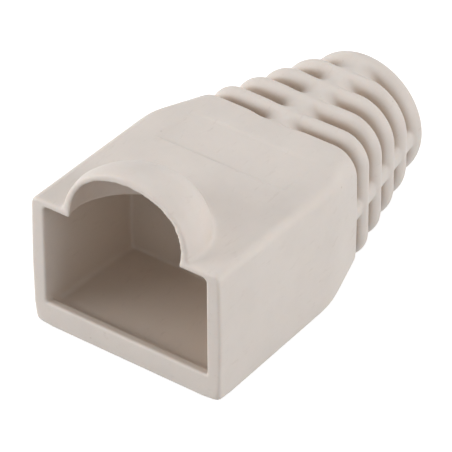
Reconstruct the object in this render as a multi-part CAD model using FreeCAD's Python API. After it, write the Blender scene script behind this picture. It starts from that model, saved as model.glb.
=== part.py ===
import FreeCAD, Part
import math
import os

# Strain relief boot for a modular data plug, moulded in one piece.
# Millimetres. X runs across the plug, Y from the mouth to the cable end, Z up.
# The underside lies on Z = 0. The mouth is modelled on Y = 0, and the finished
# boot is moved so that the middle of its underside is the origin.

Vector = FreeCAD.Vector

# Socket that takes the plug
socket_width = 12.0
socket_height = 7.45
socket_depth = 7.85
socket_corner = 0.3
socket_draft = 0.3
lead_in_depth = 1.75
lead_in_flare = 0.12
lip_height = 0.38
lip_depth = 0.62
lip_edge = 0.12

# Walls round the socket
side_wall = 1.0
floor_wall = 1.35
roof_wall = 0.4

# Outside of the body
side_draft = 1.2
shoulder_y = 11.4
shoulder_drop = 0.12
shoulder_radius = 10.0
shoulder_steps = 5
neck_length = 3.7
neck_inset = 0.925
neck_height = 9.0
mouth_top_corner = 0.5
mouth_bottom_corner = 0.32
shoulder_top_corner = 0.66
shoulder_bottom_corner = 0.8
neck_corner = 1.75
mouth_edge = 0.16
neck_edge = 0.2

# Hood over the plug's latch
hood_radius = 4.74
hood_height = 3.78
hood_centre_y = 0.8
hood_haunch = 3.5
hood_wall = 0.4
hood_side_wall = 0.41
hood_back_wall = 0.76
hood_lean = 8.5
hood_sink = 0.2
hood_crease = 0.3
rim_slope_length = 0.8
rim_slope_drop = 0.15
rim_slope_blend = 1.5
rim_edge = 0.12

# Shallow plain panel on the roof, with a level floor that the falling roof runs down to
panel_width = 9.4
panel_front_y = 9.35
panel_back_y = 12.75
panel_depth = 0.09
panel_edge = 0.06

# Ribbed tail
groove_count = 5
groove_width = 0.7
groove_depth = 1.15
rib_width = 1.22
rib_edge = 0.58
last_rib_corner = 3.5
ring_length = 1.37
ring_radius = 4.3
ring_edge = 0.6
side_web_height = 1.4
side_web_depth = 0.06
side_web_edge = 0.55
top_web_width = 3.2
top_web_depth = 0.04
top_web_edge = 1.5

# Cable bore through the tail
bore_radius = 2.0
bore_chamfer = 0.3

# Sizes worked out from the ones above
body_half_width = socket_width / 2 + side_wall
neck_half_width = body_half_width - neck_inset
neck_y = shoulder_y + neck_length
ceiling_z = floor_wall + socket_height
body_height = ceiling_z + roof_wall
parting_z = body_height / 2
shoulder_top_z = body_height - shoulder_drop
tail_axis_z = ring_radius
groove_pitch = groove_width + rib_width
ring_y = neck_y + (groove_count - 1) * groove_pitch + groove_width
tail_end_y = ring_y + ring_length

# Reach past a face that a cut goes through, grip of a joined piece in its neighbour,
# and the distance below which two places are the same
overshoot = 1.0
bite = 0.3
same_place = 0.001


def outline(y, corners):
    """Closed outline in the plane Y = y, from (x, z, radius) corners in order.

    Each corner becomes its start, middle and end points, the same point where it is sharp.
    """
    points = [Vector(x, y, z) for x, z, radius in corners]
    rounded = []
    for i, (x, z, radius) in enumerate(corners):
        here = points[i]
        back = (points[i - 1] - here).normalize()
        ahead = (points[(i + 1) % len(points)] - here).normalize()
        half_angle = back.getAngle(ahead) / 2
        run = radius / math.tan(half_angle)
        inward = (back + ahead).normalize()
        middle = here + inward * (radius / math.sin(half_angle) - radius)
        rounded.append((here + back * run, middle, here + ahead * run))
    return rounded


def is_round(corner):
    return corner[0].distanceToPoint(corner[2]) > same_place


def outline_face(shape_outline):
    edges = []
    for i, corner in enumerate(shape_outline):
        following = shape_outline[(i + 1) % len(shape_outline)]
        if is_round(corner):
            edges.append(Part.Arc(*corner).toShape())
        edges.append(Part.LineSegment(corner[2], following[0]).toShape())
    return Part.Face(Part.Wire(edges))


def join_outlines(outlines):
    """Solid through matching outlines: flat faces between straight sides, ruled round corners."""
    faces = [outline_face(outlines[0]), outline_face(outlines[-1])]
    for near, far in zip(outlines, outlines[1:]):
        for i in range(len(near)):
            j = (i + 1) % len(near)
            side = Part.makePolygon([near[i][2], near[j][0], far[j][0], far[i][2], near[i][2]])
            faces.append(Part.Face(side))
            if is_round(near[i]):
                near_arc = Part.Arc(*near[i]).toShape()
                far_arc = Part.Arc(*far[i]).toShape()
                faces.append(Part.makeRuledSurface(near_arc, far_arc))
    shell = Part.makeShell(faces)
    shell.sewShape()
    return Part.makeSolid(shell)


def between(y, start_y, end_y, at_start, at_end):
    """Size at Y = y of something that runs straight from one size to another."""
    share = (y - start_y) / (end_y - start_y)
    return at_start + (at_end - at_start) * share


def body_size(y, at_mouth, at_shoulder, at_neck):
    if y < shoulder_y:
        return between(y, 0, shoulder_y, at_mouth, at_shoulder)
    return between(y, shoulder_y, neck_y, at_shoulder, at_neck)


def body_outline(y, half_width):
    """Body section: both sides lean in above and below the parting line at mid-height."""
    lean = math.tan(math.radians(side_draft))
    top_z = body_size(y, body_height, shoulder_top_z, neck_height)
    bottom_corner = body_size(y, mouth_bottom_corner, shoulder_bottom_corner, neck_corner)
    top_corner = body_size(y, mouth_top_corner, shoulder_top_corner, neck_corner)
    bottom_half = half_width - parting_z * lean
    top_half = half_width - (top_z - parting_z) * lean
    return outline(y, [
        (-bottom_half, 0, bottom_corner),
        (bottom_half, 0, bottom_corner),
        (half_width, parting_z, 0),
        (top_half, top_z, top_corner),
        (-top_half, top_z, top_corner),
        (-half_width, parting_z, 0),
    ])


def real_edges(shape):
    """Edges of a shape without the ones at a dome's pole, which have no length."""
    return [edge for edge in shape.Edges if not edge.Degenerated]


def edges_at_y(shape, y):
    """Edges of a shape that lie wholly in the plane Y = y."""
    found = []
    for edge in real_edges(shape):
        if all(abs(point.y - y) < same_place for point in edge.discretize(3)):
            found.append(edge)
    return found


def make_body():
    """Straight sides, a gently rounded shoulder in short flats, and a tapered neck."""
    neck_angle = math.atan2(neck_inset, neck_y - shoulder_y)
    shoulder_run = shoulder_radius * math.tan(neck_angle / 2)
    sections = [body_outline(0, body_half_width)]
    for i in range(shoulder_steps + 1):
        angle = neck_angle * i / shoulder_steps
        y = shoulder_y - shoulder_run + shoulder_radius * math.sin(angle)
        sections.append(body_outline(y, body_half_width - shoulder_radius * (1 - math.cos(angle))))
    sections.append(body_outline(neck_y, neck_half_width))
    body = join_outlines(sections)
    body = body.makeFillet(neck_edge, edges_at_y(body, neck_y))
    return body.makeFillet(mouth_edge, edges_at_y(body, 0))


def make_dome(radius, height, haunch_radius, base_z, centre_y, skirt):
    """Dome on a straight skirt. Its profile is a haunch arc and a flatter crown arc, tangent."""
    haunch_x = radius - haunch_radius
    crown_radius = (haunch_x ** 2 + height ** 2 - haunch_radius ** 2) / (2 * (height - haunch_radius))
    crown_z = height - crown_radius
    join_angle = math.atan2(-crown_z, haunch_x)
    middle_angle = join_angle / 2
    top_angle = (join_angle + math.pi / 2) / 2
    haunch_middle = Vector(haunch_x + haunch_radius * math.cos(middle_angle), 0,
                           base_z + haunch_radius * math.sin(middle_angle))
    join = Vector(haunch_x + haunch_radius * math.cos(join_angle), 0,
                  base_z + haunch_radius * math.sin(join_angle))
    crown_middle = Vector(crown_radius * math.cos(top_angle), 0,
                          base_z + crown_z + crown_radius * math.sin(top_angle))
    spring = Vector(radius, 0, base_z)
    crown = Vector(0, 0, base_z + height)
    foot = Vector(radius, 0, base_z - skirt)
    axis_foot = Vector(0, 0, base_z - skirt)
    profile = Part.Face(Part.Wire([
        Part.LineSegment(axis_foot, foot).toShape(),
        Part.LineSegment(foot, spring).toShape(),
        Part.Arc(spring, haunch_middle, join).toShape(),
        Part.Arc(join, crown_middle, crown).toShape(),
        Part.LineSegment(crown, axis_foot).toShape(),
    ]))
    dome = profile.revolve(Vector(0, 0, 0), Vector(0, 0, 1), 360)
    dome.translate(Vector(0, centre_y, 0))
    return dome


def front_y(z):
    """Place of the boot's front at height Z: upright up to the ceiling, then leaning back."""
    return max(0, z - ceiling_z) * math.tan(math.radians(hood_lean))


def rim_edges(hood):
    """Edges of the trimmed hood where its outside meets its front, above the roof."""
    found = []
    for edge in real_edges(hood):
        points = edge.discretize(5)
        in_front = all(abs(point.y - front_y(point.z)) < same_place for point in points)
        if in_front and max(point.z for point in points) > body_height:
            found.append(edge)
    return found


def rim_slope_edges(hood):
    """Edges where the slope behind the rim meets the dome."""
    found = []
    for edge in real_edges(hood):
        points = edge.discretize(5)
        gaps = [point.y - front_y(point.z) for point in points]
        near_rim = same_place < min(gaps) and max(gaps) < 2 * rim_slope_length
        if near_rim and points[2].z > body_height + rim_slope_drop:
            found.append(edge)
    return found


def make_hood():
    """Hood with its front trimmed, and its outside sloping in and rounded over at the rim.

    It springs from just under the roof, so that the falling roof meets its haunch.
    """
    hood = make_dome(hood_radius, hood_height + hood_sink, hood_haunch, body_height - hood_sink,
                     hood_centre_y, bite)
    hood = hood.cut(make_front_trim())
    hood = hood.makeChamfer(rim_slope_length, rim_slope_drop, rim_edges(hood))
    hood = hood.makeFillet(rim_slope_blend, rim_slope_edges(hood))
    return hood.makeFillet(rim_edge, rim_edges(hood))


def make_hood_hollow():
    """Hollow of the hood, open to the socket and to the front."""
    radius = hood_radius - hood_side_wall
    centre_y = hood_centre_y + hood_side_wall - hood_back_wall
    return make_dome(radius, hood_height - hood_wall, hood_haunch - hood_side_wall, body_height,
                     centre_y, roof_wall + bite)


def make_front_trim():
    """Block ahead of the mouth, leaning back above the ceiling, that trims the hood's rim."""
    reach = hood_height + overshoot
    far = hood_radius + overshoot
    lean_run = front_y(ceiling_z + reach)
    side = Part.makePolygon([
        Vector(-far, -far, ceiling_z - overshoot),
        Vector(-far, 0, ceiling_z - overshoot),
        Vector(-far, 0, ceiling_z),
        Vector(-far, lean_run, ceiling_z + reach),
        Vector(-far, -far, ceiling_z + reach),
        Vector(-far, -far, ceiling_z - overshoot),
    ])
    return Part.Face(side).extrude(Vector(2 * far, 0, 0))


def socket_outline(y, half_width):
    return outline(y, [
        (-half_width, floor_wall, socket_corner),
        (half_width, floor_wall, socket_corner),
        (half_width, ceiling_z, socket_corner),
        (-half_width, ceiling_z, socket_corner),
    ])


def make_socket():
    mouth_half = socket_width / 2
    throat_half = mouth_half - lead_in_flare
    flare_rate = lead_in_flare / lead_in_depth
    return join_outlines([
        socket_outline(-overshoot, mouth_half + flare_rate * overshoot),
        socket_outline(lead_in_depth, throat_half),
        socket_outline(socket_depth, throat_half - socket_draft),
    ])


def make_lip():
    """Low bar across the mouth's floor that the plug snaps over."""
    half = socket_width / 2 + side_wall / 2
    lip = Part.makeBox(2 * half, lip_depth, lip_height + bite,
                       Vector(-half, 0, floor_wall - bite))
    top_edges = []
    for edge in lip.Edges:
        box = edge.BoundBox
        if box.XLength > half and box.ZMin > floor_wall:
            top_edges.append(edge)
    return lip.makeFillet(lip_edge, top_edges)


def tail_outline(y, inset):
    """Tail section at Y = y, from the neck's rounded rectangle towards the round end ring."""
    half_width = between(y, neck_y, ring_y, neck_half_width, ring_radius) - inset
    top_z = between(y, neck_y, ring_y, neck_height, 2 * ring_radius) - inset
    corner = between(y, neck_y, ring_y, neck_corner, last_rib_corner) - inset
    return outline(y, [
        (-half_width, inset, corner),
        (half_width, inset, corner),
        (half_width, top_z, corner),
        (-half_width, top_z, corner),
    ])


def make_rib(front_y):
    back_y = front_y + rib_width
    rib = outline_face(tail_outline(front_y + rib_width / 2, 0)).extrude(Vector(0, rib_width, 0))
    rib.translate(Vector(0, -rib_width / 2, 0))
    return rib.makeFillet(rib_edge, edges_at_y(rib, front_y) + edges_at_y(rib, back_y))


def make_ribs():
    first_y = neck_y + groove_width
    return [make_rib(first_y + i * groove_pitch) for i in range(groove_count - 1)]


def make_end_ring():
    ring = Part.makeCylinder(ring_radius, ring_length, Vector(0, ring_y, tail_axis_z), Vector(0, 1, 0))
    ring = ring.makeFillet(ring_edge, edges_at_y(ring, tail_end_y))
    return ring.makeFillet(rib_edge, edges_at_y(ring, ring_y))


def make_core():
    """Sleeve inside the ribs, from the body to the end ring."""
    return join_outlines([
        tail_outline(neck_y - bite, groove_depth),
        tail_outline(ring_y + bite, groove_depth),
    ])


def make_side_webs():
    """Strip along both sides that joins the ribs at mid-height, just below their crests."""
    start_y = neck_y - bite
    end_y = ring_y + ring_length / 2
    near_half = neck_half_width - side_web_depth
    far_half = between(end_y, neck_y, ring_y, neck_half_width, ring_radius) - side_web_depth
    bottom_z = tail_axis_z - side_web_height / 2
    strip = Part.Face(Part.makePolygon([
        Vector(-near_half, start_y, bottom_z),
        Vector(near_half, start_y, bottom_z),
        Vector(far_half, end_y, bottom_z),
        Vector(-far_half, end_y, bottom_z),
        Vector(-near_half, start_y, bottom_z),
    ])).extrude(Vector(0, 0, side_web_height))
    long_edges = [edge for edge in strip.Edges if edge.BoundBox.YLength > groove_pitch]
    return strip.makeFillet(side_web_edge, long_edges)


def make_top_webs():
    """Upright fin, rounded over, that lets the grooves run out at the top and the bottom."""
    start_y = neck_y - bite
    end_y = ring_y + ring_length / 2
    half = top_web_width / 2
    start_top = between(start_y, neck_y, ring_y, neck_height, 2 * ring_radius) - top_web_depth
    end_top = between(end_y, neck_y, ring_y, neck_height, 2 * ring_radius) - top_web_depth
    fin = Part.Face(Part.makePolygon([
        Vector(-half, start_y, top_web_depth),
        Vector(-half, end_y, top_web_depth),
        Vector(-half, end_y, end_top),
        Vector(-half, start_y, start_top),
        Vector(-half, start_y, top_web_depth),
    ])).extrude(Vector(top_web_width, 0, 0))
    long_edges = [edge for edge in fin.Edges if edge.BoundBox.YLength > groove_pitch]
    return fin.makeFillet(top_web_edge, long_edges)


def make_bore():
    start_y = socket_depth - bite
    length = tail_end_y + overshoot - start_y
    bore = Part.makeCylinder(bore_radius, length, Vector(0, start_y, tail_axis_z), Vector(0, 1, 0))
    chamfer = Part.makeCone(bore_radius, bore_radius + 2 * bore_chamfer, 2 * bore_chamfer,
                            Vector(0, tail_end_y - bore_chamfer, tail_axis_z), Vector(0, 1, 0))
    return bore.fuse(chamfer)


def make_panel_recess():
    """Block that sinks the panel. Its lower edges are rounded, so the recess has soft sides."""
    floor_z = between(panel_front_y, 0, shoulder_y, body_height, shoulder_top_z) - panel_depth
    block = Part.makeBox(panel_width, panel_back_y - panel_front_y, overshoot,
                         Vector(-panel_width / 2, panel_front_y, floor_z))
    lower_edges = [edge for edge in block.Edges if edge.BoundBox.ZMax < floor_z + same_place]
    return block.makeFillet(panel_edge, lower_edges)


def hood_distance(point):
    """Distance of a point from the hood's upright axis."""
    return math.hypot(point.x, point.y - hood_centre_y)


def crease_edges(shape):
    """Edges where the outside of the hood meets the roof."""
    found = []
    for edge in real_edges(shape):
        points = edge.discretize(5)
        on_wall = all(abs(hood_distance(point) - hood_radius) < shoulder_drop for point in points)
        on_roof = all(abs(point.z - body_height) < shoulder_drop for point in points)
        if on_wall and on_roof and edge.Length > hood_radius / 2:
            found.append(edge)
    return found


def make_boot():
    solid = make_body().fuse(make_hood()).removeSplitter()
    solid = solid.makeFillet(hood_crease, crease_edges(solid))
    solid = solid.fuse([make_core(), make_side_webs(), make_top_webs(), make_end_ring()] + make_ribs())
    solid = solid.cut(make_socket())
    solid = solid.cut(make_hood_hollow())
    solid = solid.cut(make_panel_recess())
    solid = solid.fuse(make_lip())
    solid = solid.cut(make_bore())
    solid = solid.removeSplitter()
    solid.translate(Vector(0, -tail_end_y / 2, 0))
    return solid


os.makedirs("parts", exist_ok=True)
boot = make_boot()
boot.exportStep("parts/boot.step")
print("solids", len(boot.Solids), "valid", boot.isValid(), "volume", round(boot.Volume, 1))
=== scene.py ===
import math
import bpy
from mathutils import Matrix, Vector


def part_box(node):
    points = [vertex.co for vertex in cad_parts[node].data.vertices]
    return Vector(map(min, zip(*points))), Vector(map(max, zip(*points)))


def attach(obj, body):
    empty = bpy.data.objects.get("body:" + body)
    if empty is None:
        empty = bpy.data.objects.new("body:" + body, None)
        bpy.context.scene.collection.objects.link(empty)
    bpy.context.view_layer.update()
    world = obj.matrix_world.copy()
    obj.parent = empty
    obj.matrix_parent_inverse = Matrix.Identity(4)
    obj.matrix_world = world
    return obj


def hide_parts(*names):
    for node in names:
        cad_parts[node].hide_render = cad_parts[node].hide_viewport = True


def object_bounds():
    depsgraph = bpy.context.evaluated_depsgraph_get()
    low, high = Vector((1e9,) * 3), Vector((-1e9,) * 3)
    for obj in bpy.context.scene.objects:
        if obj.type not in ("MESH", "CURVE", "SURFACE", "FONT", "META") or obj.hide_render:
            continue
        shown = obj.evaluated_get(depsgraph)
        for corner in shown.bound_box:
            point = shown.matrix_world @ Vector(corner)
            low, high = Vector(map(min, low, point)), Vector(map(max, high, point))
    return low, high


bl_info = {
    "name": "Moulded Strain Relief Boot",
    "version": (1, 0, 0),
    "blender": (4, 5, 0),
    "location": "View3D > Sidebar > Boot",
    "description": "Finishes a moulded strain relief boot in soft vinyl and sets up its studio stage",
    "category": "Material",
}

import bpy
from mathutils import Matrix, Vector

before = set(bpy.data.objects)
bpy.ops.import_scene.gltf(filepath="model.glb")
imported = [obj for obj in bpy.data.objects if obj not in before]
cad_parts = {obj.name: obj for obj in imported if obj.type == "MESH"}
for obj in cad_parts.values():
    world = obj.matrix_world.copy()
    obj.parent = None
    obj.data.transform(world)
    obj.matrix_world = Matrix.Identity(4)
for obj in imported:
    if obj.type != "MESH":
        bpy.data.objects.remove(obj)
cad_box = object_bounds()

MILLIMETRE = 0.001
WHITE = (1.0, 1.0, 1.0, 1.0)

# Points of the CAD mesh nearer to each other than this are made one
MERGE_DISTANCE = 0.001 * MILLIMETRE
# Share of the way towards its neighbours that a point of the skin moves in one round
SMOOTHING_STEP = 0.5

# Extra depth of a valley beside the tail's middle, as a share of its depth at the middle
VALLEY_SIDE_DEPTH = 1.5
# The extra depth is over at the saddle's half width divided by this
VALLEY_SIDE_PACE = 1.1
# Share of the saddle's half width past which a valley fades out
VALLEY_FADE_START = 0.6
# Power that makes the valleys narrower than the ridges between them
VALLEY_NARROWING = 1.5

# The rim swells where the skin faces inwards, down to nothing where it faces out by this much
RIM_FACING = 0.5
# Power by which the swelling falls off behind the hood's front
RIM_FALLOFF = 2

# Weight of the saddle's smoothing at the tail's start. It grows by 1 for each millimetre
SADDLE_START_WEIGHT = 0.3
# Height from which the saddle's smoothing grows upwards
SADDLE_BASE = 6 * MILLIMETRE
# At 2, the saddle's smoothing is full from half of its half width inwards
SADDLE_SIDE_GAIN = 2
# At 1.5, a corner's smoothing is full over the inner third of its reach
CORNER_GAIN = 1.5

# Rays that the vinyl sends out from each point to feel for skin nearby
FEELER_SAMPLES = 8
# Openness at which the painted shade, a darker and browner colour, is full, and at which there is none
PAINTED_SHADE_FULL_AT = 0.3
PAINTED_SHADE_NONE_AT = 0.75
# Noise values of the darkest and the lightest patches
PATCH_DARKEST = 0.35
PATCH_LIGHTEST = 0.65
# Noise values at which a scuff starts and at which it is full
SCUFF_START = 0.6
SCUFF_FULL = 0.75
# Turn of the noise that the scuffs are read from, in radians. They still run along the boot
SCUFF_NOISE_TURN = 0.5
# Half of the length over which the tail's softer edges set in
TAIL_BLEND = MILLIMETRE / 2
VINYL_IOR = 1.5
VINYL_GLOSS = 0.4
# How far red, green and blue light scatter, as shares of the scatter distance
SCATTER_SHARES = (1.0, 0.7, 0.5)

# Width of the square floor, and how near the camera starts to see, in metres
FLOOR_WIDTH = 2.0
CAMERA_CLIP_START = 0.01
PHOTO_WIDTH = 452
SENSOR_WIDTH = 36.0
# Point of the boot that the lights face and that the camera is placed from
STAGE_CENTRE = Vector((0.0, -0.425, 6.0)) * MILLIMETRE


class MouldSettings(bpy.types.PropertyGroup):
    """How the boot's hard modelled edges melt into one soft moulded skin."""

    cell_size: bpy.props.FloatProperty(
        name="Cell size",
        description="Size of the even cells that the skin is made of",
        subtype="DISTANCE", unit="LENGTH", min=0.00005, max=0.001, default=0.00011,
    )
    kept_share: bpy.props.FloatProperty(
        name="Kept share",
        description="Share of the cells' triangles that stay once flat places are thinned out",
        subtype="FACTOR", min=0.05, max=1.0, default=0.45,
    )
    skin_rounds: bpy.props.IntProperty(
        name="Skin rounds",
        description="Rounds of smoothing over the whole skin",
        min=0, max=100, default=5,
    )
    saddle_rounds: bpy.props.IntProperty(
        name="Saddle rounds",
        description="Rounds of smoothing over the tail's top, where the grooves run out",
        min=0, max=400, default=8,
    )
    saddle_half_width: bpy.props.FloatProperty(
        name="Saddle half width",
        description="How far to each side of the middle the tail's top is smoothed",
        subtype="DISTANCE", unit="LENGTH", min=0.0, max=0.01, default=0.0022,
    )
    saddle_floor: bpy.props.FloatProperty(
        name="Saddle floor",
        description="Height above which the skin counts as the tail's top",
        subtype="DISTANCE", unit="LENGTH", default=0.0074,
    )
    valley_depth: bpy.props.FloatProperty(
        name="Valley depth",
        description="How far a groove is sunk at the middle of the tail's top, before smoothing",
        subtype="DISTANCE", unit="LENGTH", min=0.0, max=0.001, default=0.00013,
    )
    groove_count: bpy.props.IntProperty(
        name="Groove count",
        description="Number of grooves that run on over the tail's top",
        min=1, max=20, default=5,
    )
    groove_pitch: bpy.props.FloatProperty(
        name="Groove pitch",
        description="Distance from one groove to the next",
        subtype="DISTANCE", unit="LENGTH", min=0.0001, max=0.01, default=0.00192,
    )
    groove_width: bpy.props.FloatProperty(
        name="Groove width",
        description="Width of a groove",
        subtype="DISTANCE", unit="LENGTH", min=0.0001, max=0.01, default=0.0007,
    )
    hood_foot: bpy.props.FloatProperty(
        name="Hood foot",
        description="Height at which the hood's arch starts",
        subtype="DISTANCE", unit="LENGTH", default=0.0087,
    )
    hood_rise: bpy.props.FloatProperty(
        name="Hood rise",
        description="Height of the hood's arch above its foot",
        subtype="DISTANCE", unit="LENGTH", min=0.0001, max=0.05, default=0.0042,
    )
    hood_half_width: bpy.props.FloatProperty(
        name="Hood half width",
        description="Half of the hood's outside width",
        subtype="DISTANCE", unit="LENGTH", min=0.0001, max=0.05, default=0.00474,
    )
    hood_lean: bpy.props.FloatProperty(
        name="Hood lean",
        description="Angle at which the hood's front leans back",
        subtype="ANGLE", unit="ROTATION", default=math.radians(8.5),
    )
    rim_length: bpy.props.FloatProperty(
        name="Rim length",
        description="How far back from its front the hood's arch is thickened",
        subtype="DISTANCE", unit="LENGTH", min=0.0001, max=0.01, default=0.0018,
    )
    rim_swell: bpy.props.FloatProperty(
        name="Rim swell",
        description="How much the front of the hood's arch is thickened, before smoothing",
        subtype="DISTANCE", unit="LENGTH", min=0.0, max=0.001, default=0.00026,
    )
    corner_rounds: bpy.props.IntProperty(
        name="Corner rounds",
        description="Rounds of smoothing over the mouth's lower corners",
        min=0, max=400, default=45,
    )
    corner_reach: bpy.props.FloatProperty(
        name="Corner reach",
        description="How far from the mouth's lower corners the skin is smoothed",
        subtype="DISTANCE", unit="LENGTH", min=0.0, max=0.01, default=0.0014,
    )


class VinylSettings(bpy.types.PropertyGroup):
    """Colour and finish of the soft vinyl."""

    colour: bpy.props.FloatVectorProperty(
        name="Colour",
        description="Colour of the clean vinyl",
        subtype="COLOR", size=3, min=0.0, max=1.0,
        default=(0.68, 0.62, 0.572),
    )
    # Painted shade: darker, browner colour that is painted where the boot's own walls enclose the skin
    painted_shade_colour: bpy.props.FloatVectorProperty(
        name="Painted shade colour",
        description="Browner colour that the vinyl takes where it is enclosed, as in the socket",
        subtype="COLOR", size=3, min=0.0, max=1.0,
        default=(0.62, 0.53, 0.455),
    )
    # Reach of the feeler that picks where the shade is painted
    painted_shade_reach: bpy.props.FloatProperty(
        name="Painted shade reach",
        description="How near the walls round a place have to be to enclose it",
        subtype="DISTANCE", unit="LENGTH", min=0.001, max=0.05, default=0.012,
    )
    shade_variation: bpy.props.FloatProperty(
        name="Shade variation",
        description="How far the broad cloudy patches stray from the clean colour",
        subtype="FACTOR", min=0.0, max=0.3, default=0.03,
    )
    patch_size: bpy.props.FloatProperty(
        name="Patch size",
        description="Size of the broad cloudy patches",
        subtype="DISTANCE", unit="LENGTH", min=0.0005, max=0.02, default=0.004,
    )
    mark_colour: bpy.props.FloatVectorProperty(
        name="Mark colour",
        description="Colour of the fine specks and scuffs",
        subtype="COLOR", size=3, min=0.0, max=1.0,
        default=(0.33, 0.25, 0.19),
    )
    speck_spacing: bpy.props.FloatProperty(
        name="Speck spacing",
        description="Typical distance between neighbouring specks inside the vinyl",
        subtype="DISTANCE", unit="LENGTH", min=0.0002, max=0.01, default=0.0018,
    )
    speck_radius: bpy.props.FloatProperty(
        name="Speck radius",
        description="Radius of a speck",
        subtype="DISTANCE", unit="LENGTH", min=0.00001, max=0.0005, default=0.00008,
    )
    speck_strength: bpy.props.FloatProperty(
        name="Speck strength",
        description="How dark the darkest specks are",
        subtype="FACTOR", min=0.0, max=1.0, default=0.7,
    )
    scuff_width: bpy.props.FloatProperty(
        name="Scuff width",
        description="Width of the short faint scuffs along the boot",
        subtype="DISTANCE", unit="LENGTH", min=0.00002, max=0.001, default=0.0003,
    )
    scuff_stretch: bpy.props.FloatProperty(
        name="Scuff stretch",
        description="Length of a scuff, as a multiple of its width",
        min=1.0, max=20.0, default=4.0,
    )
    scuff_strength: bpy.props.FloatProperty(
        name="Scuff strength",
        description="How dark the scuffs are",
        subtype="FACTOR", min=0.0, max=1.0, default=0.12,
    )
    roughness: bpy.props.FloatProperty(
        name="Roughness",
        description="How dull the moulded surface is",
        subtype="FACTOR", min=0.0, max=1.0, default=0.5,
    )
    roughness_spread: bpy.props.FloatProperty(
        name="Roughness spread",
        description="How far the roughness strays from patch to patch",
        subtype="FACTOR", min=0.0, max=0.3, default=0.06,
    )
    grain_size: bpy.props.FloatProperty(
        name="Grain size",
        description="Size of the fine grain left by the mould",
        subtype="DISTANCE", unit="LENGTH", min=0.00002, max=0.001, default=0.00018,
    )
    grain_depth: bpy.props.FloatProperty(
        name="Grain depth",
        description="Depth of the fine grain left by the mould",
        subtype="DISTANCE", unit="LENGTH", min=0.0, max=0.0001, default=0.000004,
    )
    ripple_size: bpy.props.FloatProperty(
        name="Ripple size",
        description="Size of the slow unevenness of the surface",
        subtype="DISTANCE", unit="LENGTH", min=0.0002, max=0.01, default=0.0025,
    )
    ripple_depth: bpy.props.FloatProperty(
        name="Ripple depth",
        description="Depth of the slow unevenness of the surface",
        subtype="DISTANCE", unit="LENGTH", min=0.0, max=0.0002, default=0.000012,
    )
    edge_softness: bpy.props.FloatProperty(
        name="Edge softness",
        description="Radius over which the edges look rounded",
        subtype="DISTANCE", unit="LENGTH", min=0.0, max=0.001, default=0.00012,
    )
    tail_softness: bpy.props.FloatProperty(
        name="Tail softness",
        description="Radius over which the edges of the ribbed tail look rounded",
        subtype="DISTANCE", unit="LENGTH", min=0.0, max=0.001, default=0.00015,
    )
    tail_start: bpy.props.FloatProperty(
        name="Tail start",
        description="Place along the boot where the body ends and the ribbed tail starts",
        subtype="DISTANCE", unit="LENGTH", default=0.002675,
    )
    translucency: bpy.props.FloatProperty(
        name="Translucency",
        description="Share of the light that scatters inside the vinyl",
        subtype="FACTOR", min=0.0, max=1.0, default=0.3,
    )
    scatter_distance: bpy.props.FloatProperty(
        name="Scatter distance",
        description="How far red light scatters inside the vinyl",
        subtype="DISTANCE", unit="LENGTH", min=0.00001, max=0.005, default=0.0005,
    )


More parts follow.
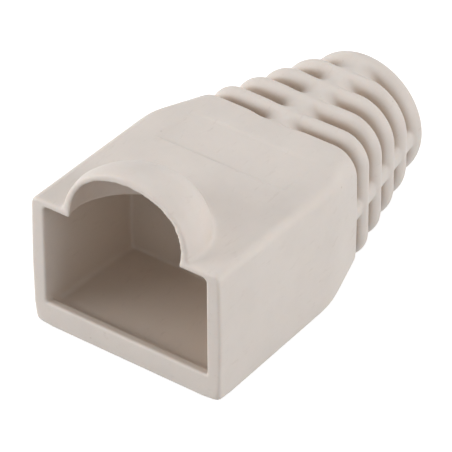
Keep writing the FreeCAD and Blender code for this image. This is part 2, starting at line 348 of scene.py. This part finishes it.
class StageSettings(bpy.types.PropertyGroup):
    """Floor, light and camera."""

    floor_colour: bpy.props.FloatVectorProperty(
        name="Floor colour",
        description="Colour of the floor's paint",
        subtype="COLOR", size=3, min=0.0, max=1.0,
        default=(0.5, 0.5, 0.5),
    )
    floor_white: bpy.props.FloatProperty(
        name="Floor white",
        description="White that the floor shows to the camera besides its paint",
        subtype="FACTOR", min=0.0, max=1.0, default=0.78,
    )
    room_level: bpy.props.FloatProperty(
        name="Room light",
        description="Strength of the even light from all round",
        min=0.0, max=2.0, default=0.42,
    )
    key_azimuth: bpy.props.FloatProperty(
        name="Key light azimuth",
        description="Angle of the key light round the boot, from straight in front",
        subtype="ANGLE", unit="ROTATION", default=math.radians(-49),
    )
    key_elevation: bpy.props.FloatProperty(
        name="Key light elevation",
        description="Angle of the key light above the horizon",
        subtype="ANGLE", unit="ROTATION", default=math.radians(6),
    )
    key_level: bpy.props.FloatProperty(
        name="Key light level",
        description="Light that the key light gives; at 1, it makes white paper that faces it white",
        min=0.0, max=3.0, default=1.06,
    )
    top_azimuth: bpy.props.FloatProperty(
        name="Top light azimuth",
        description="Angle of the top light round the boot, from straight in front",
        subtype="ANGLE", unit="ROTATION", default=math.radians(-150),
    )
    top_elevation: bpy.props.FloatProperty(
        name="Top light elevation",
        description="Angle of the top light above the horizon",
        subtype="ANGLE", unit="ROTATION", default=math.radians(65),
    )
    top_level: bpy.props.FloatProperty(
        name="Top light level",
        description="Light that the top light gives; at 1, it makes white paper that faces it white",
        min=0.0, max=3.0, default=0.3,
    )
    side_azimuth: bpy.props.FloatProperty(
        name="Side light azimuth",
        description="Angle of the side light round the boot, from straight in front",
        subtype="ANGLE", unit="ROTATION", default=math.radians(99),
    )
    side_elevation: bpy.props.FloatProperty(
        name="Side light elevation",
        description="Angle of the side light above the horizon",
        subtype="ANGLE", unit="ROTATION", default=math.radians(19),
    )
    side_level: bpy.props.FloatProperty(
        name="Side light level",
        description="Light that the side light gives; at 1, it makes white paper that faces it white",
        min=0.0, max=3.0, default=0.53,
    )
    softbox_distance: bpy.props.FloatProperty(
        name="Softbox distance",
        description="Distance from a soft light to the boot",
        subtype="DISTANCE", unit="LENGTH", min=0.05, max=2.0, default=0.28,
    )
    softbox_size: bpy.props.FloatProperty(
        name="Softbox size",
        description="Width and height of a soft light",
        subtype="DISTANCE", unit="LENGTH", min=0.01, max=1.0, default=0.2,
    )
    camera_azimuth: bpy.props.FloatProperty(
        name="Camera azimuth",
        description="Angle of the camera round the boot, from straight in front",
        subtype="ANGLE", unit="ROTATION", default=math.radians(36.814),
    )
    camera_elevation: bpy.props.FloatProperty(
        name="Camera elevation",
        description="Angle of the camera above the horizon",
        subtype="ANGLE", unit="ROTATION", default=math.radians(36.276),
    )
    camera_roll: bpy.props.FloatProperty(
        name="Camera roll",
        description="Turn of the camera about its line of sight",
        subtype="ANGLE", unit="ROTATION", default=math.radians(-0.280),
    )
    camera_distance: bpy.props.FloatProperty(
        name="Camera distance",
        description="Distance from the camera to the plane through the middle of the stage",
        subtype="DISTANCE", unit="LENGTH", default=0.275744,
    )
    camera_side_step: bpy.props.FloatProperty(
        name="Camera side step",
        description="Distance that the camera stands to the right of the stage's middle",
        subtype="DISTANCE", unit="LENGTH", default=-0.0012112,
    )
    camera_rise: bpy.props.FloatProperty(
        name="Camera rise",
        description="Distance that the camera stands above the stage's middle, square to its line of sight",
        subtype="DISTANCE", unit="LENGTH", default=-0.0025253,
    )
    focal_pixels: bpy.props.FloatProperty(
        name="Focal length in pixels",
        description="Focal length of the lens, in pixels of the photograph",
        subtype="PIXEL", min=100.0, max=20000.0, default=4580.7,
    )


def new_material(name):
    """Material with an empty node tree."""
    material = bpy.data.materials.new(name)
    material.use_nodes = True
    material.node_tree.nodes.clear()
    return material


def add_node(tree, kind, label, x, y, **values):
    """A labelled node at a place in the tree. Values set its own properties."""
    node = tree.nodes.new(kind)
    node.label = label
    node.location = (x, y)
    for key, value in values.items():
        setattr(node, key, value)
    return node


def set_inputs(node, **values):
    """Sets a node's sockets by name, with spaces written as underscores."""
    for key, value in values.items():
        node.inputs[key.replace("_", " ")].default_value = value


def smooth_skin(boot, rounds, name, weight):
    """Smooths the skin by weight, a function that gives a share for a point on it."""
    group = boot.vertex_groups.new(name=name)
    for vertex in boot.data.vertices:
        share = weight(vertex.co)
        if share > 0:
            group.add([vertex.index], min(1.0, share), "REPLACE")
    bpy.ops.object.modifier_add(type="SMOOTH")
    modifier = boot.modifiers[-1]
    modifier.factor = SMOOTHING_STEP
    modifier.iterations = rounds
    modifier.vertex_group = group.name
    bpy.ops.object.modifier_apply(modifier=modifier.name)


def sink_saddle(boot, settings, tail_start):
    """Lets each groove run on over the tail's top as a shallow valley, deepest beside the middle."""
    first_valley = tail_start + settings.groove_width / 2
    last_valley = first_valley + (settings.groove_count - 1) * settings.groove_pitch
    for vertex in boot.data.vertices:
        point = vertex.co
        beside = abs(point.x) / settings.saddle_half_width
        past_ends = max(first_valley - point.y, point.y - last_valley)
        if beside > 1 or point.z < settings.saddle_floor or past_ends > settings.groove_width:
            continue
        wave = 0.5 + 0.5 * math.cos(2 * math.pi * (point.y - first_valley) / settings.groove_pitch)
        side_wave = math.sin(math.pi * min(1.0, beside * VALLEY_SIDE_PACE)) ** 2
        across = 1 + VALLEY_SIDE_DEPTH * side_wave
        fade = 1 - max(0.0, beside - VALLEY_FADE_START) / (1 - VALLEY_FADE_START)
        vertex.co.z -= settings.valley_depth * across * fade * wave ** VALLEY_NARROWING


def thicken_rim(boot, settings, mouth_y):
    """Thickens the front of the hood's arch inwards, so that it ends in a plump rolled rim."""
    # All normals are read first, because reading one after a move works them all out again
    normals = [vertex.normal.copy() for vertex in boot.data.vertices]
    for vertex, normal in zip(boot.data.vertices, normals):
        point = vertex.co
        if point.z < settings.hood_foot or abs(point.x) > settings.hood_half_width:
            continue
        front_y = mouth_y + (point.z - settings.hood_foot) * math.tan(settings.hood_lean)
        behind = (point.y - front_y) / settings.rim_length
        outward = Vector((point.x / settings.hood_half_width, 0.0,
                          (point.z - settings.hood_foot) / settings.hood_rise)).normalized()
        inner = min(1.0, max(0.0, RIM_FACING - normal.dot(outward)))
        share = inner * (1 - min(1.0, max(0.0, behind))) ** RIM_FALLOFF
        vertex.co -= outward * settings.rim_swell * share


def add_noise(tree, label, vector, size, detail, roughness, x, y):
    """Noise whose features are about as large as size."""
    noise = add_node(tree, "ShaderNodeTexNoise", label, x, y)
    set_inputs(noise, Scale=1 / size, Detail=detail, Roughness=roughness)
    tree.links.new(vector, noise.inputs["Vector"])
    return noise


def add_colour_and_painted_shade(tree, clouds, settings):
    """Cloudy colour of the skin without marks, with painted shade, darker and browner, where the boot's own
    walls enclose it.
    """
    link = tree.links.new
    lighter = [min(1.0, value * (1 + settings.shade_variation)) for value in settings.colour]
    darker = [value * (1 - settings.shade_variation) for value in settings.colour]
    tint = add_node(tree, "ShaderNodeValToRGB", "Vinyl colour", -850, 400)
    tint.color_ramp.elements[0].position = PATCH_DARKEST
    tint.color_ramp.elements[0].color = (*darker, 1.0)
    tint.color_ramp.elements[1].position = PATCH_LIGHTEST
    tint.color_ramp.elements[1].color = (*lighter, 1.0)
    link(clouds.outputs["Fac"], tint.inputs["Fac"])

    # It feels for this piece alone, so the floor under the boot doesn't paint shade on it
    openness = add_node(tree, "ShaderNodeAmbientOcclusion", "How open it is", -1100, 700,
                        samples=FEELER_SAMPLES, only_local=True)
    set_inputs(openness, Distance=settings.painted_shade_reach)
    enclosed = add_node(tree, "ShaderNodeMapRange", "How enclosed it is", -850, 700)
    set_inputs(enclosed, From_Min=PAINTED_SHADE_FULL_AT, From_Max=PAINTED_SHADE_NONE_AT, To_Min=1.0, To_Max=0.0)
    link(openness.outputs["AO"], enclosed.inputs["Value"])
    # Painted shade: the skin's colour is mixed towards a darker, browner one where it is enclosed
    skin = add_node(tree, "ShaderNodeMix", "Painted shade where enclosed", -500, 450, data_type="RGBA")
    link(enclosed.outputs["Result"], skin.inputs["Factor"])
    link(tint.outputs["Color"], skin.inputs["A"])
    skin.inputs["B"].default_value = (*settings.painted_shade_colour, 1.0)
    return skin


def add_marks(tree, vector, settings):
    """How dark the specks and scuffs are at a place, from nothing to 1."""
    link = tree.links.new
    specks = add_node(tree, "ShaderNodeTexVoronoi", "Specks", -1350, 50)
    set_inputs(specks, Scale=1 / settings.speck_spacing, Randomness=1.0)
    link(vector, specks.inputs["Vector"])
    radius = settings.speck_radius / settings.speck_spacing
    speck_shape = add_node(tree, "ShaderNodeMapRange", "Speck shape", -1100, 100)
    set_inputs(speck_shape, From_Min=radius / 2, From_Max=radius, To_Min=1.0, To_Max=0.0)
    link(specks.outputs["Distance"], speck_shape.inputs["Value"])
    speck_lot = add_node(tree, "ShaderNodeSeparateColor", "Each speck its own", -1100, -100)
    link(specks.outputs["Color"], speck_lot.inputs["Color"])
    speck_weight = add_node(tree, "ShaderNodeMath", "Speck darkness", -850, 50, operation="MULTIPLY")
    link(speck_shape.outputs["Result"], speck_weight.inputs[0])
    link(speck_lot.outputs["Red"], speck_weight.inputs[1])
    speck_share = add_node(tree, "ShaderNodeMath", "Speck share", -650, 50, operation="MULTIPLY")
    speck_share.inputs[1].default_value = settings.speck_strength
    link(speck_weight.outputs[0], speck_share.inputs[0])

    stretch = add_node(tree, "ShaderNodeMapping", "Stretched along the boot", -1350, -250)
    set_inputs(stretch, Scale=(1.0, 1 / settings.scuff_stretch, 1.0),
               Rotation=(0.0, 0.0, SCUFF_NOISE_TURN))
    link(vector, stretch.inputs["Vector"])
    scuffs = add_noise(tree, "Scuffs", stretch.outputs["Vector"], settings.scuff_width,
                       3.0, 0.6, -1100, -300)
    scuff_shape = add_node(tree, "ShaderNodeMapRange", "Scuff shape", -850, -300)
    set_inputs(scuff_shape, From_Min=SCUFF_START, From_Max=SCUFF_FULL,
               To_Min=0.0, To_Max=settings.scuff_strength)
    link(scuffs.outputs["Fac"], scuff_shape.inputs["Value"])

    marks = add_node(tree, "ShaderNodeMath", "Specks and scuffs", -450, 0, operation="MAXIMUM")
    link(speck_share.outputs[0], marks.inputs[0])
    link(scuff_shape.outputs["Result"], marks.inputs[1])
    return marks


def add_relief(tree, vector, settings):
    """Softened edges, softer on the tail, with a slow ripple and fine mould grain over them."""
    link = tree.links.new
    grain = add_noise(tree, "Mould grain", vector, settings.grain_size, 3.0, 0.55, -1100, -600)
    ripple = add_noise(tree, "Slow ripple", vector, settings.ripple_size, 2.0, 0.5, -1100, -900)

    soft_edges = add_node(tree, "ShaderNodeBevel", "Softened edges", -800, -1100,
                          samples=FEELER_SAMPLES)
    along = add_node(tree, "ShaderNodeSeparateXYZ", "Place along the boot", -1350, -1200)
    link(vector, along.inputs["Vector"])
    softness = add_node(tree, "ShaderNodeMapRange", "Softer on the tail", -1100, -1200)
    set_inputs(softness, From_Min=settings.tail_start - TAIL_BLEND,
               From_Max=settings.tail_start + TAIL_BLEND,
               To_Min=settings.edge_softness, To_Max=settings.tail_softness)
    link(along.outputs["Y"], softness.inputs["Value"])
    link(softness.outputs["Result"], soft_edges.inputs["Radius"])

    ripple_bump = add_node(tree, "ShaderNodeBump", "Ripple bump", -500, -900)
    set_inputs(ripple_bump, Strength=1.0, Distance=settings.ripple_depth)
    link(ripple.outputs["Fac"], ripple_bump.inputs["Height"])
    link(soft_edges.outputs["Normal"], ripple_bump.inputs["Normal"])

    grain_bump = add_node(tree, "ShaderNodeBump", "Grain bump", -250, -700)
    set_inputs(grain_bump, Strength=1.0, Distance=settings.grain_depth)
    link(grain.outputs["Fac"], grain_bump.inputs["Height"])
    link(ripple_bump.outputs["Normal"], grain_bump.inputs["Normal"])
    return grain_bump


def make_vinyl(settings):
    """Soft satin vinyl: cloudy patches, rare dark specks, short scuffs, mould grain, soft edges."""
    material = new_material("soft_vinyl")
    tree = material.node_tree
    link = tree.links.new

    place = add_node(tree, "ShaderNodeTexCoord", "Place on the boot", -1700, 0).outputs["Object"]
    clouds = add_noise(tree, "Cloudy patches", place, settings.patch_size, 4.0, 0.6, -1100, 400)
    skin = add_colour_and_painted_shade(tree, clouds, settings)
    marks = add_marks(tree, place, settings)
    relief = add_relief(tree, place, settings)

    colour = add_node(tree, "ShaderNodeMix", "Marks over vinyl", -250, 250, data_type="RGBA")
    link(marks.outputs[0], colour.inputs["Factor"])
    link(skin.outputs["Result"], colour.inputs["A"])
    colour.inputs["B"].default_value = (*settings.mark_colour, 1.0)

    shine = add_node(tree, "ShaderNodeMapRange", "Roughness of the skin", -450, -250)
    set_inputs(shine, To_Min=settings.roughness - settings.roughness_spread,
               To_Max=settings.roughness + settings.roughness_spread)
    link(clouds.outputs["Fac"], shine.inputs["Value"])

    vinyl = add_node(tree, "ShaderNodeBsdfPrincipled", "Vinyl", 0, 0)
    set_inputs(vinyl, IOR=VINYL_IOR, Specular_IOR_Level=VINYL_GLOSS,
               Subsurface_Weight=settings.translucency,
               Subsurface_Scale=settings.scatter_distance, Subsurface_Radius=SCATTER_SHARES)
    link(colour.outputs["Result"], vinyl.inputs["Base Color"])
    link(shine.outputs["Result"], vinyl.inputs["Roughness"])
    link(relief.outputs["Normal"], vinyl.inputs["Normal"])

    out = add_node(tree, "ShaderNodeOutputMaterial", "Surface", 320, 0)
    link(vinyl.outputs["BSDF"], out.inputs["Surface"])
    return material


def make_floor_material(settings):
    """Pale floor that looks white to the camera and keeps the boot's soft shadow."""
    material = new_material("pale_floor")
    tree = material.node_tree
    link = tree.links.new

    paint = add_node(tree, "ShaderNodeBsdfDiffuse", "Floor paint", -300, 100)
    paint.inputs["Color"].default_value = (*settings.floor_colour, 1.0)
    glow = add_node(tree, "ShaderNodeEmission", "White to the camera", -300, -100)
    glow.inputs["Color"].default_value = WHITE
    seen = white_to_camera(tree, -900, -200)
    lift = add_node(tree, "ShaderNodeMath", "Share of white", -500, -200, operation="MULTIPLY")
    lift.inputs[1].default_value = settings.floor_white
    link(seen.outputs[0], lift.inputs[0])
    link(lift.outputs[0], glow.inputs["Strength"])
    both = add_node(tree, "ShaderNodeAddShader", "Paint and white", 0, 0)
    link(paint.outputs["BSDF"], both.inputs[0])
    link(glow.outputs["Emission"], both.inputs[1])
    out = add_node(tree, "ShaderNodeOutputMaterial", "Surface", 250, 0)
    link(both.outputs["Shader"], out.inputs["Surface"])
    return material


def white_to_camera(tree, x, y):
    """1 for rays that show the background to the camera, straight on or by gloss or glass."""
    link = tree.links.new
    path = add_node(tree, "ShaderNodeLightPath", "Kind of ray", x, y)
    straight_or_gloss = add_node(tree, "ShaderNodeMath", "Straight on or gloss", x + 200, y,
                                 operation="MAXIMUM")
    link(path.outputs["Is Camera Ray"], straight_or_gloss.inputs[0])
    link(path.outputs["Is Glossy Ray"], straight_or_gloss.inputs[1])
    any_sight = add_node(tree, "ShaderNodeMath", "Or glass", x + 400, y, operation="MAXIMUM")
    link(straight_or_gloss.outputs[0], any_sight.inputs[0])
    link(path.outputs["Is Transmission Ray"], any_sight.inputs[1])
    return any_sight


def make_world(settings):
    """Even light from all round, in a room that looks white to the camera."""
    world = bpy.data.worlds.new("studio_room")
    world.use_nodes = True
    tree = world.node_tree
    tree.nodes.clear()
    link = tree.links.new
    seen = white_to_camera(tree, -900, 0)
    strength = add_node(tree, "ShaderNodeMix", "Room light or white", -250, 0, data_type="FLOAT")
    link(seen.outputs[0], strength.inputs["Factor"])
    strength.inputs["A"].default_value = settings.room_level
    strength.inputs["B"].default_value = 1.0
    sky = add_node(tree, "ShaderNodeBackground", "Even light", 0, 0)
    sky.inputs["Color"].default_value = WHITE
    link(strength.outputs["Result"], sky.inputs["Strength"])
    out = add_node(tree, "ShaderNodeOutputWorld", "Room", 250, 0)
    link(sky.outputs["Background"], out.inputs["Surface"])
    bpy.context.scene.world = world


def direction(azimuth, elevation):
    """Direction from the boot, by the angles round it from straight in front and above the horizon."""
    return Vector((math.sin(azimuth) * math.cos(elevation),
                   -math.cos(azimuth) * math.cos(elevation),
                   math.sin(elevation)))


def add_softbox(name, azimuth, elevation, level, settings):
    """Square soft light that faces the boot and makes white paper there as bright as level."""
    light = bpy.data.lights.new(name, "AREA")
    light.shape = "SQUARE"
    light.size = settings.softbox_size
    light.energy = level * (math.pi * settings.softbox_distance) ** 2
    towards = direction(azimuth, elevation)
    lamp = bpy.data.objects.new(name, light)
    lamp.location = STAGE_CENTRE + towards * settings.softbox_distance
    lamp.rotation_euler = towards.to_track_quat("Z", "Y").to_euler()
    bpy.context.scene.collection.objects.link(lamp)


def add_camera(settings):
    """Camera that stands where the photograph was taken."""
    azimuth = settings.camera_azimuth
    back = direction(azimuth, settings.camera_elevation)
    level_right = Vector((math.cos(azimuth), math.sin(azimuth), 0.0))
    level_up = back.cross(level_right)
    roll = settings.camera_roll
    right = math.cos(roll) * level_right + math.sin(roll) * level_up
    up = math.cos(roll) * level_up - math.sin(roll) * level_right
    place = (STAGE_CENTRE + back * settings.camera_distance
             + right * settings.camera_side_step + up * settings.camera_rise)
    lens = bpy.data.cameras.new("photo_camera")
    lens.sensor_fit = "HORIZONTAL"
    lens.sensor_width = SENSOR_WIDTH
    lens.lens = settings.focal_pixels / PHOTO_WIDTH * SENSOR_WIDTH
    lens.clip_start = CAMERA_CLIP_START
    camera = bpy.data.objects.new("photo_camera", lens)
    turn = Matrix((right, up, back)).transposed().to_4x4()
    camera.matrix_world = Matrix.Translation(place) @ turn
    bpy.context.scene.collection.objects.link(camera)
    bpy.context.scene.camera = camera


class BOOT_OT_mould_boot(bpy.types.Operator):
    """Melts the boot's hard edges into one soft moulded skin"""

    bl_idname = "boot.mould_boot"
    bl_label = "Mould boot"

    def execute(self, context):
        settings = context.scene.boot_mould
        tail_start = context.scene.boot_vinyl.tail_start
        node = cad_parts["boot"]
        low, high = [Vector(corner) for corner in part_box("boot")]
        bpy.ops.object.select_all(action="DESELECT")
        boot = bpy.data.objects.new("soft_boot", node.data.copy())
        context.scene.collection.objects.link(boot)
        boot.select_set(True)
        context.view_layer.objects.active = boot
        # Cleared, because the remesh would carry the CAD mesh's own shading over to the new skin
        bpy.ops.mesh.customdata_custom_splitnormals_clear()
        bpy.ops.object.mode_set(mode="EDIT")
        bpy.ops.mesh.select_all(action="SELECT")
        bpy.ops.mesh.remove_doubles(threshold=MERGE_DISTANCE)
        bpy.ops.object.mode_set(mode="OBJECT")
        boot.data.remesh_voxel_size = settings.cell_size
        bpy.ops.object.voxel_remesh()

        def everywhere(point):
            return 1.0

        def on_saddle(point):
            side = 1 - abs(point.x) / settings.saddle_half_width
            lengthwise = (point.y - tail_start) / MILLIMETRE + SADDLE_START_WEIGHT
            above = (point.z - SADDLE_BASE) / MILLIMETRE
            before_end = (high.y - point.y) / MILLIMETRE
            return min(SADDLE_SIDE_GAIN * side, lengthwise, above, before_end)

        def near_corner(point):
            corner = Vector((math.copysign(high.x, point.x), low.y, low.z))
            return CORNER_GAIN * (1 - (point - corner).length / settings.corner_reach)

        sink_saddle(boot, settings, tail_start)
        thicken_rim(boot, settings, low.y)
        smooth_skin(boot, settings.skin_rounds, "skin", everywhere)
        smooth_skin(boot, settings.saddle_rounds, "saddle", on_saddle)
        smooth_skin(boot, settings.corner_rounds, "corners", near_corner)
        bpy.ops.object.modifier_add(type="DECIMATE")
        boot.modifiers[-1].ratio = settings.kept_share
        bpy.ops.object.modifier_apply(modifier=boot.modifiers[-1].name)
        bpy.ops.object.shade_smooth()
        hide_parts("boot")
        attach(boot, "root")
        return {"FINISHED"}


class BOOT_OT_finish_boot(bpy.types.Operator):
    """Gives the moulded boot its soft vinyl finish"""

    bl_idname = "boot.finish_boot"
    bl_label = "Finish boot"

    def execute(self, context):
        boot = bpy.data.objects["soft_boot"]
        boot.data.materials.clear()
        boot.data.materials.append(make_vinyl(context.scene.boot_vinyl))
        return {"FINISHED"}


class BOOT_OT_build_stage(bpy.types.Operator):
    """Sets up the pale floor, the soft lights and the camera"""

    bl_idname = "boot.build_stage"
    bl_label = "Build stage"

    def execute(self, context):
        settings = context.scene.boot_stage
        bpy.ops.object.select_all(action="DESELECT")
        bpy.ops.mesh.primitive_plane_add(size=FLOOR_WIDTH, location=(0.0, 0.0, cad_box[0][2]))
        floor = context.object
        floor.name = "studio_floor"
        floor.data.materials.append(make_floor_material(settings))
        make_world(settings)
        add_softbox("key_softbox", settings.key_azimuth, settings.key_elevation,
                    settings.key_level, settings)
        add_softbox("top_softbox", settings.top_azimuth, settings.top_elevation,
                    settings.top_level, settings)
        add_softbox("side_softbox", settings.side_azimuth, settings.side_elevation,
                    settings.side_level, settings)
        add_camera(settings)
        context.scene.view_settings.view_transform = "Standard"
        return {"FINISHED"}


class BOOT_PT_sidebar(bpy.types.Panel):
    """Sizes, colours and steps of the boot"""

    bl_label = "Strain relief boot"
    bl_idname = "BOOT_PT_sidebar"
    bl_space_type = "VIEW_3D"
    bl_region_type = "UI"
    bl_category = "Boot"

    def draw(self, context):
        layout = self.layout
        for settings in (context.scene.boot_mould, context.scene.boot_vinyl, context.scene.boot_stage):
            box = layout.box()
            for name in settings.__annotations__:
                box.prop(settings, name)
        layout.operator(BOOT_OT_mould_boot.bl_idname)
        layout.operator(BOOT_OT_finish_boot.bl_idname)
        layout.operator(BOOT_OT_build_stage.bl_idname)


CLASSES = (MouldSettings, VinylSettings, StageSettings, BOOT_OT_mould_boot, BOOT_OT_finish_boot,
           BOOT_OT_build_stage, BOOT_PT_sidebar)


def register():
    for item in CLASSES:
        bpy.utils.register_class(item)
    bpy.types.Scene.boot_mould = bpy.props.PointerProperty(type=MouldSettings)
    bpy.types.Scene.boot_vinyl = bpy.props.PointerProperty(type=VinylSettings)
    bpy.types.Scene.boot_stage = bpy.props.PointerProperty(type=StageSettings)


def unregister():
    del bpy.types.Scene.boot_stage
    del bpy.types.Scene.boot_vinyl
    del bpy.types.Scene.boot_mould
    for item in reversed(CLASSES):
        bpy.utils.unregister_class(item)


def main():
    """Builds the boot and its stage."""
    register()
    bpy.ops.boot.mould_boot()
    bpy.ops.boot.finish_boot()
    bpy.ops.boot.build_stage()


if __name__ == "__main__":
    main()
